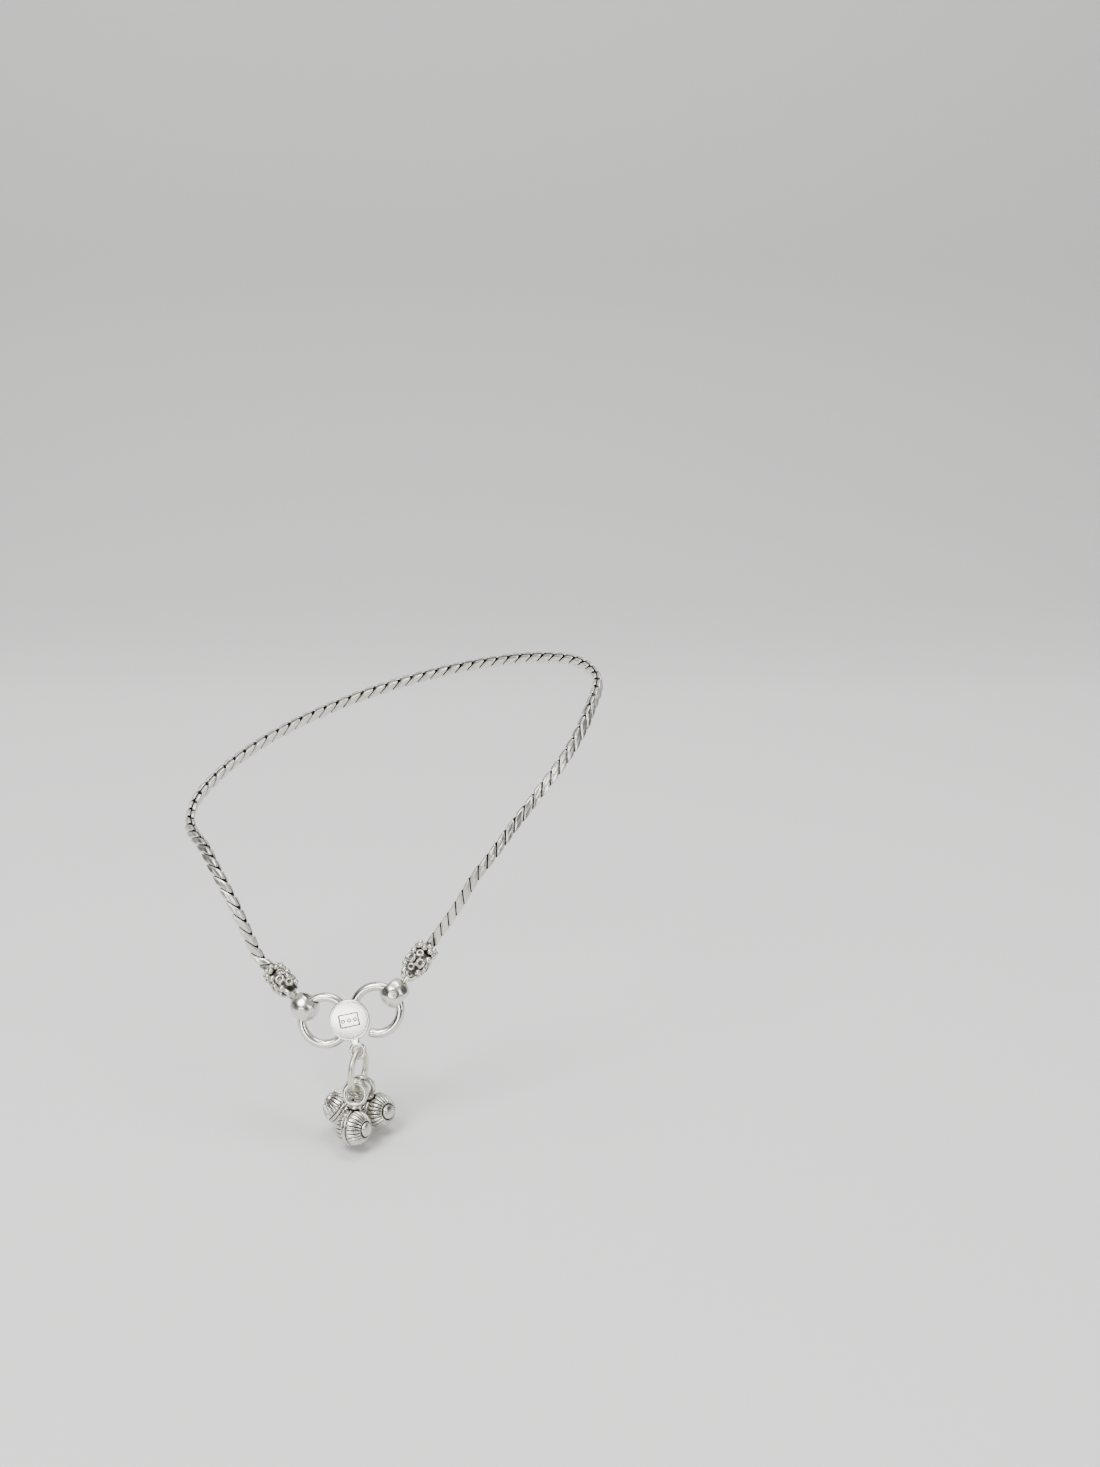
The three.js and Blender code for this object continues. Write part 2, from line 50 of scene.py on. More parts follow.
TURN = 2 * math.pi

# Fits and soldered laps
CLEARANCE = 0.15
SOLDER = 0.3

# Chain: each link shows a slanted leaf on both faces and its edge on both sides
LINK_PITCH = 3.08
CHAIN_WIDTH = 2.2
CHAIN_THICKNESS = 1.88
LEAF_ANGLE = 35  # between the chain's way and the line where two leaves meet
LEAF_GAP = 0.3  # along the chain, between two leaves
LEAF_CORNER = 4.0  # power of the rounded outline
LEAF_STEPS = 32
LEAF_CREASE = 0.6  # half length of the crease in a leaf's middle
CORE_REACH = 2.2  # from a link's middle to its end, inside the chain
CORE_SWING = 0.5
CORE_DEPTH = 0.4
CORE_WIRE = 0.95
CORE_STEPS = 24
CORE_SIDES = 8
BEND_SPAN = 0.7  # the chain's way at a point is read this far to each side of it
CHAIN_LEAD = 0.65
FACE_ALONG = 80  # half axes of the oval that the wide face turns away from
FACE_ACROSS = 31
FACE_LIFT = 0.35  # how far the wide face looks up

CHAIN_ROUTE = [
    (-27.6, -20.6, -36.5),
    (-29.8, -20.0, -31.9),
    (-32.1, -19.2, -26.3),
    (-34.7, -17.6, -21.5),
    (-37.3, -14.8, -17.9),
    (-40.2, -10.5, -14.9),
    (-43.3, -5.6, -13.8),
    (-45.1, -0.6, -12.7),
    (-44.9, 6.3, -10.6),
    (-40.5, 14.0, -6.6),
    (-31.0, 22.5, -1.4),
    (-17.0, 28.6, 4.2),
    (0.0, 31.0, 9.8),
    (17.0, 28.6, 14.6),
    (30.5, 22.0, 18.0),
    (38.7, 15.6, 19.2),
    (42.3, 10.4, 18.8),
    (43.9, 5.2, 17.9),
    (43.6, 0.4, 16.6),
    (42.2, -4.6, 14.6),
    (40.5, -9.0, 11.7),
    (38.1, -13.0, 8.4),
    (35.4, -16.6, 5.3),
    (32.3, -19.8, 2.1),
    (29.1, -22.4, -1.5),
    (25.6, -24.2, -5.7),
    (22.1, -25.2, -10.5),
    (18.4, -25.6, -15.4),
    (14.8, -25.6, -21.7),
]

# Clasp centre
CLASP_AT = (-7.5, -32.0, -43.6)
CLASP_TILT = 14
CLASP_YAW = 5
CLASP_LEAN = 18
RING_OUTER = 11.6
RING_WIRE = 1.9
RING_JOINT_LAP = 0.45
RING_GAP_FROM = 238
RING_GAP_SPAN = 22
DISC_DIAMETER = 8.5
DISC_THICKNESS = 0.9
DISC_DOME = 0.2
DISC_BEVEL = 0.3
DISC_SIDE = -0.25
DISC_DROP = -0.78
TAIL_LENGTH = 0.45
TAIL_WIDTH = 1.6
TAIL_LEAN = 3
EYE_OUTER = 3.7
EYE_WIRE = 0.9
STAMP_WIDTH = 4.1
STAMP_HEIGHT = 2.7
STAMP_DEPTH = 0.16
STAMP_EDGE = 0.12
STAMP_FIELD = 0.45  # depth of the field inside its outline, as a share of the outline's
STAMP_LINE = 0.2  # width of the outline
PIP_LINE = 0.09  # width of a pip's ring
PIP_DIAMETER = 0.62
PIP_SPACING = 1.27

# Beads
BEAD_DIAMETER = 6.3
BEAD_LENGTH = 4.6
BEAD_WALL = 0.35
BEAD_LIP = 0.035
BEAD_RIM = 0.972  # the bore's rim, as a share of the row beside it
BEAD_FLATS = 22
BEAD_EYE_WIRE = 0.72
BEAD_EYE_WIDTH = 2.1
CAD_BEAD_SIDES = 12
GOLDEN_ANGLE = math.pi * (3 - math.sqrt(5))

# Caps
BAIL_WIRE = 1.04
BAIL_OUTER_WIDTH = 3.7
CAP_LENGTH = 6.6
CAP_BARREL = 4.1
CAP_COLLAR = 3.9
CAP_COLLAR_LENGTH = 1.5
CAP_GROOVE = 3.3
CAP_GROOVE_LENGTH = 0.4
CAP_END = 3.0
SOCKET_DEPTH = 2.3
STUD_ROWS = ((1.62, 0.52), (2.1, 0.62), (1.62, 0.52))  # diameter and height, from the bail
STUDS_PER_ROW = 6
GAP_GRAIN = 0.6  # small balls in the gaps between the studs
COLLAR_GRAINS = ((0.42, 1.35, 9), (1.2, 1.15, 9))  # height on the collar, diameter, count

# Drop ring and bells
DROP_RING_OUTER = 9.4
DROP_RING_WIRE = 1.3
DROP_RING_TURN = 16
BELL_DIAMETER = 7.6
BELL_GAP = 0.2
BELL_NECK = 0.35
BELL_LOOP_OUTER = 5.5
BELL_LOOP_WIRE = 1.1
BELL_FLUTES = 24
BELL_BOSS_ANGLE = 25  # degrees from the pole to the boss's edge
BELL_SEAM_ANGLE = 7  # degrees from the seam to its band's edge

BELLS = [
    {"name": "bell_front", "seat": -1.57, "across": -0.21, "back": -1.15, "loop": -6, "pole": 69},
    {"name": "bell_left", "seat": 0.0, "across": -1.09, "back": 0.6, "loop": -7, "pole": -92},
    {"name": "bell_right", "seat": 1.15, "across": 0.9, "back": 0.55, "loop": -6, "pole": 70},
]
SIDES = [
    {"name": "left", "ring": -1, "angle": 134.5, "pull": (-0.64, 0.68, 0.36), "edge_on": True},
    {"name": "right", "ring": 1, "angle": 31, "pull": (0.561, 0.562, 0.607), "edge_on": False},
]


def unit(vector):
    vector = np.asarray(vector, float)
    return vector / np.linalg.norm(vector, axis=-1, keepdims=True)


def smooth(low, high, value):
    t = np.clip((value - low) / (high - low), 0, 1)
    return t * t * (3 - 2 * t)


def turned(axis, angle):
    """Rotation matrix about x, y or z."""
    c, s = math.cos(angle), math.sin(angle)
    if axis == "x":
        return np.array([[1, 0, 0], [0, c, -s], [0, s, c]])
    if axis == "y":
        return np.array([[c, 0, s], [0, 1, 0], [-s, 0, c]])
    return np.array([[c, -s, 0], [s, c, 0], [0, 0, 1]])


def about(axis, angle):
    """Rotation matrix about any axis."""
    x, y, z = unit(axis)
    cross = np.array([[0, -z, y], [z, 0, -x], [-y, x, 0]])
    return np.eye(3) + math.sin(angle) * cross + (1 - math.cos(angle)) * cross @ cross


class Place:
    """A frame: columns of turn are its axes, origin is its zero."""

    def __init__(self, origin=(0, 0, 0), turn=None):
        self.origin = np.asarray(origin, float)
        self.turn = np.eye(3) if turn is None else np.asarray(turn, float)

    def point(self, local):
        return np.asarray(local, float) @ self.turn.T + self.origin

    def direction(self, local):
        return np.asarray(local, float) @ self.turn.T


def framed(origin, x_axis, z_axis):
    z = unit(z_axis)
    x = unit(np.asarray(x_axis, float) - z * np.dot(x_axis, z))
    return Place(origin, np.column_stack([x, np.cross(z, x), z]))


class Shape:
    """Vertices, faces and patina with painted shade (0 bright, 1 black) of one piece."""

    def __init__(self):
        self.points = []
        self.patina_and_shade = []
        self.faces = []
        self.count = 0

    def add(self, points, faces, patina_and_shade=0.0):
        points = np.asarray(points, float).reshape(-1, 3)
        values = np.broadcast_to(np.asarray(patina_and_shade, float).reshape(-1), (len(points),))
        self.points.append(points)
        self.patina_and_shade.append(values)
        self.faces.extend(tuple(int(i) + self.count for i in face) for face in faces)
        self.count += len(points)
        return self

    def moved(self, place):
        self.points = [place.point(points) for points in self.points]
        return self

    def merge(self, other):
        for points, patina_and_shade in zip(other.points, other.patina_and_shade):
            self.points.append(points)
            self.patina_and_shade.append(patina_and_shade)
        self.faces.extend(tuple(i + self.count for i in face) for face in other.faces)
        self.count += other.count
        return self


def quads(rows, columns, close_rows=False, close_columns=False):
    faces = []
    for i in range(rows if close_rows else rows - 1):
        for j in range(columns if close_columns else columns - 1):
            a = i * columns + j
            b = i * columns + (j + 1) % columns
            c = ((i + 1) % rows) * columns + (j + 1) % columns
            d = ((i + 1) % rows) * columns + j
            faces.append((a, d, c, b))
    return faces


def swept(centres, outward, width, depth, sides, closed, patina_and_shade=None):
    """A wire along centres. outward is across the wire, width is its size there."""
    centres = np.asarray(centres, float)
    ahead = np.roll(centres, -1, 0) - np.roll(centres, 1, 0)
    if not closed:
        ahead[0] = centres[1] - centres[0]
        ahead[-1] = centres[-1] - centres[-2]
    ahead = unit(ahead)
    outward = np.asarray(outward, float)
    outward = unit(outward - ahead * np.sum(outward * ahead, 1, keepdims=True))
    upward = np.cross(ahead, outward)
    angle = TURN * np.arange(sides) / sides
    width = np.broadcast_to(np.asarray(width, float), (len(centres),))[:, None, None]
    depth = np.broadcast_to(np.asarray(depth, float), (len(centres),))[:, None, None]
    points = (
        centres[:, None, :]
        + outward[:, None, :] * np.cos(angle)[None, :, None] * width / 2
        + upward[:, None, :] * np.sin(angle)[None, :, None] * depth / 2
    )
    faces = quads(len(centres), sides, closed, True)
    rows = points.reshape(-1, 3)
    if not closed:
        rows = np.vstack([rows, centres[:1], centres[-1:]])
        first, last = len(rows) - 2, len(rows) - 1
        top = (len(centres) - 1) * sides
        for j in range(sides):
            after = (j + 1) % sides
            faces.append((first, j, after))
            faces.append((last, top + after, top + j))
    return rows, faces


def ring(radius, wire, steps=96, sides=24, start=0.0, span=TURN):
    """A wire ring in the xz plane; an open one has rounded cut ends."""
    closed = abs(span - TURN) < 1e-6
    if closed:
        angle = start + TURN * np.arange(steps) / steps
        thick = np.full(steps, wire)
    else:
        share = np.linspace(0, 1, steps)
        round_off = 0.3 * wire / (radius * span)
        extra = np.array([round_off / 6, round_off / 2])
        share = np.sort(np.concatenate([share, extra, 1 - extra]))
        angle = start + share * span
        edge = np.minimum(share, 1 - share) / round_off
        thick = wire * np.where(edge < 1, 0.72 + 0.28 * np.sqrt(1 - (1 - np.minimum(edge, 1)) ** 2), 1.0)
    centres = np.column_stack([radius * np.cos(angle), np.zeros(len(angle)), radius * np.sin(angle)])
    return swept(centres, unit(centres), thick, thick, sides, closed)


def lathed(profile, sides):
    """Turns (radius, height) rows round z. A zero radius is one point."""
    points, faces, rows = [], [], []
    angle = TURN * np.arange(sides) / sides
    for radius, height in profile:
        if radius < 1e-6:
            rows.append([len(points)])
            points.append((0, 0, height))
            continue
        start = len(points)
        for a in angle:
            points.append((radius * math.cos(a), radius * math.sin(a), height))
        rows.append(list(range(start, start + sides)))
    for low, high in zip(rows, rows[1:]):
        for j in range(sides):
            after = (j + 1) % sides
            if len(low) == 1:
                faces.append((low[0], high[after], high[j]))
            elif len(high) == 1:
                faces.append((low[j], low[after], high[0]))
            else:
                faces.append((low[j], low[after], high[after], high[j]))
    return np.array(points, float), faces


def piece(name, shape, material, body, nodes):
    """A Blender object from a shape, riding on a body in place of CAD nodes."""
    points = np.vstack(shape.points) * MM
    mesh = bpy.data.meshes.new(name)
    mesh.from_pydata(points.tolist(), [], shape.faces)
    mesh.validate()
    layer = mesh.attributes.new("patina_and_shade", "FLOAT", "POINT")
    layer.data.foreach_set("value", np.concatenate(shape.patina_and_shade).astype(np.float32))
    mesh.shade_smooth()
    mesh.materials.append(material)
    obj = bpy.data.objects.new(name, mesh)
    bpy.context.scene.collection.objects.link(obj)
    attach(obj, body)
    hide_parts(*nodes)
    return obj


# Materials
def silver(name, bright, shade, black, roughness, scratch, grain):
    """Silver: bright metal, patina and painted shade from the mesh's own values, wear and fine scratches.
    """
    material = bpy.data.materials.new(name)
    material.use_nodes = True
    tree = material.node_tree
    tree.nodes.clear()
    new, link = tree.nodes.new, tree.links.new

    def node(kind, **values):
        made = new(kind)
        for key, value in values.items():
            setattr(made, key, value)
        return made

    def mixed(kind, factor, a, b):
        mix = node("ShaderNodeMix", data_type=kind)
        sockets = {"RGBA": (6, 7, 2), "FLOAT": (2, 3, 0)}[kind]
        link(factor, mix.inputs[0])
        for socket, value in zip(sockets, (a, b)):
            if isinstance(value, bpy.types.NodeSocket):
                link(value, mix.inputs[socket])
            else:
                mix.inputs[socket].default_value = value
        return mix.outputs[sockets[2]]

    output = node("ShaderNodeOutputMaterial")
    metal = node("ShaderNodeBsdfPrincipled")
    metal.inputs["Metallic"].default_value = 1.0
    place = node("ShaderNodeTexCoord")
    patina_and_shade = node("ShaderNodeAttribute", attribute_name="patina_and_shade")

    cloud = node("ShaderNodeTexNoise")
    cloud.inputs["Scale"].default_value = 420
    cloud.inputs["Detail"].default_value = 5
    cloud.inputs["Roughness"].default_value = 0.6
    link(place.outputs["Object"], cloud.inputs["Vector"])

    # Patina and painted shade spread unevenly from the recesses
    spread = node("ShaderNodeMath", operation="MULTIPLY_ADD")
    link(cloud.outputs[0], spread.inputs[0])
    spread.inputs[1].default_value = 0.5
    spread.inputs[2].default_value = -0.25
    uneven = node("ShaderNodeMath", operation="ADD")
    link(patina_and_shade.outputs["Fac"], uneven.inputs[0])
    link(spread.outputs[0], uneven.inputs[1])
    cover = node("ShaderNodeMapRange", interpolation_type="SMOOTHSTEP")
    cover.inputs["From Min"].default_value = 0.22
    cover.inputs["From Max"].default_value = 0.72
    link(uneven.outputs[0], cover.inputs["Value"])

    tone = mixed("RGBA", cloud.outputs[0], (*bright, 1), (*shade, 1))
    colour = mixed("RGBA", cover.outputs[0], tone, (*black, 1))
    link(colour, metal.inputs["Base Color"])

    rough = mixed("FLOAT", cloud.outputs[0], roughness * 0.75, roughness * 1.3)
    link(mixed("FLOAT", cover.outputs[0], rough, 0.62), metal.inputs["Roughness"])

    fine = node("ShaderNodeTexNoise")
    fine.inputs["Scale"].default_value = 2600
    fine.inputs["Detail"].default_value = 3
    stretch = node("ShaderNodeMapping")
    stretch.inputs["Scale"].default_value = (1.0, 0.3, 2.2)
    stretch.inputs["Rotation"].default_value = (0.4, 0.7, 0.3)
    link(place.outputs["Object"], stretch.inputs["Vector"])
    link(stretch.outputs["Vector"], fine.inputs["Vector"])
    dents = node("ShaderNodeBump")
    dents.inputs["Strength"].default_value = grain
    dents.inputs["Distance"].default_value = 0.00006
    link(cloud.outputs[0], dents.inputs["Height"])
    scratches = node("ShaderNodeBump")
    scratches.inputs["Strength"].default_value = scratch
    scratches.inputs["Distance"].default_value = 0.00002
    link(fine.outputs[0], scratches.inputs["Height"])
    link(dents.outputs["Normal"], scratches.inputs["Normal"])
    link(scratches.outputs["Normal"], metal.inputs["Normal"])
    link(metal.outputs[0], output.inputs["Surface"])
    return material


BLACK = (0.018, 0.015, 0.013)
polished = silver("polished_silver", (0.84, 0.82, 0.77), (0.66, 0.64, 0.59), BLACK, 0.26, 0.35, 0.5)
brushed = silver("satin_silver", (0.80, 0.78, 0.73), (0.60, 0.58, 0.53), BLACK, 0.21, 0.6, 0.45)
oxidised = silver("oxidised_silver", (0.79, 0.77, 0.71), (0.54, 0.51, 0.45), BLACK, 0.26, 0.5, 0.7)
filed_silver = silver("filed_silver", (0.83, 0.81, 0.75), (0.64, 0.61, 0.55), BLACK, 0.3, 0.7, 0.8)
wire_silver = silver("drop_ring_silver", (0.80, 0.77, 0.68), (0.62, 0.58, 0.49), BLACK, 0.33, 0.4, 0.4)


# Clasp centre, in its own frame: x along the two rings, y away from the viewer
ring_radius = (RING_OUTER - RING_WIRE) / 2
ring_reach = RING_OUTER / 2 - RING_JOINT_LAP / 2
disc_radius = DISC_DIAMETER / 2
plate_front = -(RING_WIRE / 2 - SOLDER + DISC_THICKNESS)
plate_middle = plate_front + DISC_THICKNESS / 2
eye_radius = (EYE_OUTER - EYE_WIRE) / 2
tail_angle = math.radians(TAIL_LEAN)
tail_span = disc_radius + TAIL_LENGTH + EYE_OUTER / 2
eye_side = DISC_SIDE + tail_span * math.sin(tail_angle)
eye_drop = DISC_DROP - tail_span * math.cos(tail_angle)
clasp_turn = turned("z", -math.radians(CLASP_YAW)) @ turned("x", -math.radians(CLASP_LEAN))
clasp = Place(CLASP_AT, clasp_turn @ turned("y", -math.radians(CLASP_TILT)))


def stamp_relief(x, z):
    """The disc's punched field: depth and darkness of its outline and its three plain pips."""
    inside = np.minimum(STAMP_WIDTH / 2 - np.abs(x), STAMP_HEIGHT / 2 - np.abs(z))
    sunk = smooth(-STAMP_EDGE / 2, STAMP_EDGE / 2, inside)
    outline = sunk * (1 - smooth(STAMP_LINE / 2, STAMP_LINE, inside))
    depth = sunk * STAMP_FIELD + outline * (1 - STAMP_FIELD)
    dark = outline
    for place in (-1, 0, 1):
        away = np.hypot(x - place * PIP_SPACING, z)
        cut = np.exp(-(((away - PIP_DIAMETER / 2) / PIP_LINE) ** 2))
        depth = np.maximum(depth, cut)
        dark = np.maximum(dark, 0.9 * cut)
    return depth, dark


def disc_shape():
    """The domed disc with its thin rim step; y is depth, the face looks to -y."""
    shape = Shape()
    around = 200
    radii = np.concatenate([np.linspace(0.04, disc_radius - DISC_BEVEL, 96), [disc_radius - 0.22]])
    radii = np.concatenate([radii, disc_radius - 0.12 * (1 - np.sin(np.linspace(0.2, 1.57, 6)))])
    angle = TURN * np.arange(around) / around
    rows, values = [], []
    for radius in radii:
        x = radius * np.cos(angle)
        z = radius * np.sin(angle)
        share = min(radius / disc_radius, 1)
        face = plate_front - DISC_DOME * (1 - share**2)
        groove = 0.03 * math.exp(-(((radius - disc_radius + 0.34) / 0.06) ** 2))
        rounding = 0.14 * max(0, (radius - (disc_radius - 0.16)) / 0.16) ** 2
        stamp, dark = stamp_relief(x, z)
        rows.append(np.column_stack([x, face + groove + rounding + STAMP_DEPTH * stamp, z]))
        # Painted shade: the fine groove by the rim is darkened.
        values.append(dark + groove * 2)
    back = plate_front + DISC_THICKNESS
    edge = [(disc_radius, plate_front + 0.3), (disc_radius, back - 0.1), (disc_radius - 0.1, back)]
    for radius, depth in edge:
        x = radius * np.cos(angle)
        z = radius * np.sin(angle)
        rows.append(np.column_stack([x, np.full(around, depth), z]))
        # Painted shade: the disc's side wall and back are a little darker.
        values.append(np.full(around, 0.1))
    points = np.vstack(rows)
    faces = quads(len(rows), around, False, True)
    centre_front = len(points)
    middle_depth = plate_front - DISC_DOME + STAMP_DEPTH * STAMP_FIELD
    points = np.vstack([points, [[0, middle_depth, 0], [0, back, 0]]])
    last = (len(rows) - 1) * around
    for j in range(around):
        after = (j + 1) % around
        faces.append((centre_front, j, after))
        faces.append((centre_front + 1, last + after, last + j))
    patina_and_shade = np.concatenate(values + [np.array([0.0, 0.1])])
    return shape.add(points, faces, patina_and_shade)


def tail_shape():
    """The neck between disc and eye, with hollow sides and soft edges."""
    shape = Shape()
    start = disc_radius - 0.55
    end = disc_radius + TAIL_LENGTH + EYE_WIRE * 0.75
    rows = 24
    sides = 28
    points = []
    for i in range(rows + 1):
        share = i / rows
        waist = 1 + 1.05 * (1 - share) ** 2.4
        half = TAIL_WIDTH / 2 * waist
        for j in range(sides):
            a = TURN * j / sides
            # a rounded rectangle section
            c, s = math.cos(a), math.sin(a)
            x = half * math.copysign(abs(c) ** 0.45, c)
            y = DISC_THICKNESS / 2 * 0.94 * math.copysign(abs(s) ** 0.45, s)
            points.append((x, plate_middle + y, -(start + (end - start) * share)))
    faces = quads(rows + 1, sides, False, True)
    first, last = len(points), len(points) + 1
    points += [(0, plate_middle, -start), (0, plate_middle, -end)]
    top = rows * sides
    for j in range(sides):
        after = (j + 1) % sides
        faces.append((first, j, after))
        faces.append((last, top + after, top + j))
    place = Place((DISC_SIDE, 0, DISC_DROP), turned("y", -tail_angle))
    return shape.add(points, faces, 0.03).moved(place)


def clasp_shape():
    whole = Shape()
    left, left_faces = ring(ring_radius, RING_WIRE, 120, 28)
    whole.add(left + [-ring_reach, 0, 0], left_faces, 0.0)
    start = math.radians(RING_GAP_FROM)
    span = TURN - math.radians(RING_GAP_SPAN)
    right, right_faces = ring(ring_radius, RING_WIRE, 120, 28, start, span)
    whole.add(right + [ring_reach, 0, 0], right_faces, 0.0)
    whole.merge(disc_shape().moved(Place((DISC_SIDE, 0, DISC_DROP))))
    whole.merge(tail_shape())
    eye, eye_faces = ring(eye_radius, EYE_WIRE, 72, 20)
    whole.add(eye + [eye_side, plate_middle, eye_drop], eye_faces, 0.06)
    return whole.moved(clasp)


piece("clasp_rings_and_disc", clasp_shape(), brushed, "band", ["clasp_centre"])


# Beads and caps, strung on each side
bead_radius = BEAD_DIAMETER / 2
bore_radius = math.sqrt(bead_radius**2 - (BEAD_LENGTH / 2) ** 2) - BEAD_LIP
flatness = math.cos(math.pi / CAD_BEAD_SIDES)
rim_tilt = math.asin(BEAD_LENGTH / 2 / ring_radius)
rim_sagitta = ring_radius * (1 - math.cos(rim_tilt))
bead_offset = bore_radius * flatness - rim_sagitta - RING_WIRE / 2 / math.cos(rim_tilt) - CLEARANCE
bail_seat = bead_radius + CLEARANCE + BAIL_WIRE / 2
bead_eye_at = bail_seat + BAIL_WIRE / 2 + CLEARANCE + BEAD_EYE_WIRE / 2
cap_start = bead_eye_at + BEAD_EYE_WIRE / 2 + CLEARANCE
cap_top = cap_start + CAP_LENGTH
barrel_length = CAP_LENGTH - CAP_COLLAR_LENGTH - CAP_GROOVE_LENGTH
socket_radius = math.hypot(CHAIN_WIDTH, CHAIN_THICKNESS) / 2 + CLEARANCE + 0.05


def hammer_planes(seed):
    """Directions and depths of a bead's large hammered flats, spread evenly with some jitter."""
    random = np.random.default_rng(seed)
    height = 1 - (2 * np.arange(BEAD_FLATS) + 1) / BEAD_FLATS
    turn = GOLDEN_ANGLE * np.arange(BEAD_FLATS) + random.uniform(0, TURN)
    wide = np.sqrt(1 - height**2)
    directions = np.column_stack([wide * np.cos(turn), wide * np.sin(turn), height])
    directions = unit(directions + random.normal(0, 0.13, (BEAD_FLATS, 3)))
    depths = bead_radius * random.uniform(0.95, 0.985, BEAD_FLATS)
    return directions, depths


def hammered(points, planes):
    """Moves points on a ball of bead_radius to the soft meeting of the hammered flats."""
    directions, depths = planes
    away = unit(points)
    facing = np.maximum(away @ directions.T, 0.3)
    reach = np.column_stack([depths / facing, np.full(len(away), bead_radius)])
    sharp = 26.0
    level = -np.log(np.sum(np.exp(-sharp * reach), 1)) / sharp
    return away * np.minimum(level, bead_radius)[:, None]


def bead_shape(bore_axis, seed):
    half = BEAD_LENGTH / 2
    inner = bead_radius - BEAD_WALL
    around, up = 144, 56
    planes = hammer_planes(seed)
    turn = framed((0, 0, 0), (0.31, 0.95, 0.02), bore_axis)
    angle = TURN * np.arange(around) / around
    rows, values = [], []
    for z in np.linspace(-half, half, up):
        radius = math.sqrt(bead_radius**2 - z**2)
        ball = np.column_stack([radius * np.cos(angle), radius * np.sin(angle), np.full(around, z)])
        rows.append(hammered(ball, planes))
        values.append(np.full(around, 0.0))
    inner_half = math.sqrt(inner**2 - bore_radius**2)
    rows.append(rows[-1] * [BEAD_RIM, BEAD_RIM, 1.0] + [0, 0, 0.02])
    values.append(np.full(around, 0.08))
    for share in np.linspace(1, -1, 20):
        z = inner_half * share
        radius = math.sqrt(inner**2 - z**2)
        rows.append(np.column_stack([radius * np.cos(angle), radius * np.sin(angle), np.full(around, z)]))
        # Painted shade: the bore's inside darkens toward its middle, away from both openings.
        values.append(np.full(around, 0.35 + 0.4 * (1 - abs(share))))
    rows.append(rows[0] * [BEAD_RIM, BEAD_RIM, 1.0] - [0, 0, 0.02])
    values.append(np.full(around, 0.08))
    shape = Shape()
    faces = [face[::-1] for face in quads(len(rows), around, True, True)]
    shape.add(np.vstack(rows), faces, np.concatenate(values))
    shape.moved(turn)
    bend = BEAD_EYE_WIDTH / 2
    shoulder = bead_eye_at - bend
    foot = math.sqrt((bead_radius - BEAD_WALL / 2) ** 2 - bend**2) - 0.1
    arch = [(0, -bend, foot), (0, -bend, (foot + shoulder) / 2)]
    arch += [(0, -bend * math.cos(a), shoulder + bend * math.sin(a)) for a in np.linspace(0, math.pi, 25)]
    arch += [(0, bend, (foot + shoulder) / 2), (0, bend, foot)]
    outward = np.column_stack([np.ones(len(arch)), np.zeros(len(arch)), np.zeros(len(arch))])
    wire, faces = swept(arch, outward, BEAD_EYE_WIRE, BEAD_EYE_WIRE, 16, False)
    return shape.add(wire, faces, 0.15)


def stud_shape(diameter, height):
    """A little tube that stands on the barrel, with a round lip and a grey pit."""
    outer = diameter / 2
    lip = outer * 0.27
    middle = outer - lip
    profile = [(0, -0.45), (outer * 1.1, -0.45), (outer * 1.02, -0.1)]
    crest = height - lip
    profile += [(middle + lip * math.cos(a), crest + lip * math.sin(a)) for a in np.linspace(0, math.pi, 9)]
    profile += [(middle - lip * 0.95, crest - 0.14), (middle * 0.3, crest - 0.2), (0, crest - 0.2)]
    points, faces = lathed(profile, 22)
    radius = np.hypot(points[:, 0], points[:, 1])
    # Painted shade: the stud darkens toward its foot, where it meets the barrel.
    foot = smooth(0.2, -0.15, points[:, 2]) * 0.75
    pit = smooth(middle, middle - lip * 1.1, radius) * (points[:, 2] > 0) * 0.55
    return points, faces, np.maximum(foot, pit)


def ball(radius, rows=8, sides=12):
    polar = [math.pi * i / rows for i in range(rows + 1)]
    profile = [(radius * math.sin(p), -radius * math.cos(p)) for p in polar]
    profile[0] = (0, -radius)
    profile[-1] = (0, radius)
    return lathed(profile, sides)


def barrel_radius(z):
    """The cap's barrel at a height above its start."""
    share = z / barrel_length
    swell = smooth(0, 0.3, share) * (1 - smooth(0.72, 1.0, share) * 0.35)
    return CAP_END / 2 + (CAP_BARREL - CAP_END) / 2 * swell


def outward_place(angle, radius, z, lean=0.0):
    """A frame that stands on the barrel, its z axis pointing out."""
    out = np.array([math.cos(angle), math.sin(angle), 0])
    normal = unit(out + np.array([0, 0, lean]))
    return framed(out * radius + np.array([0, 0, z]), (0, 0, 1), normal)


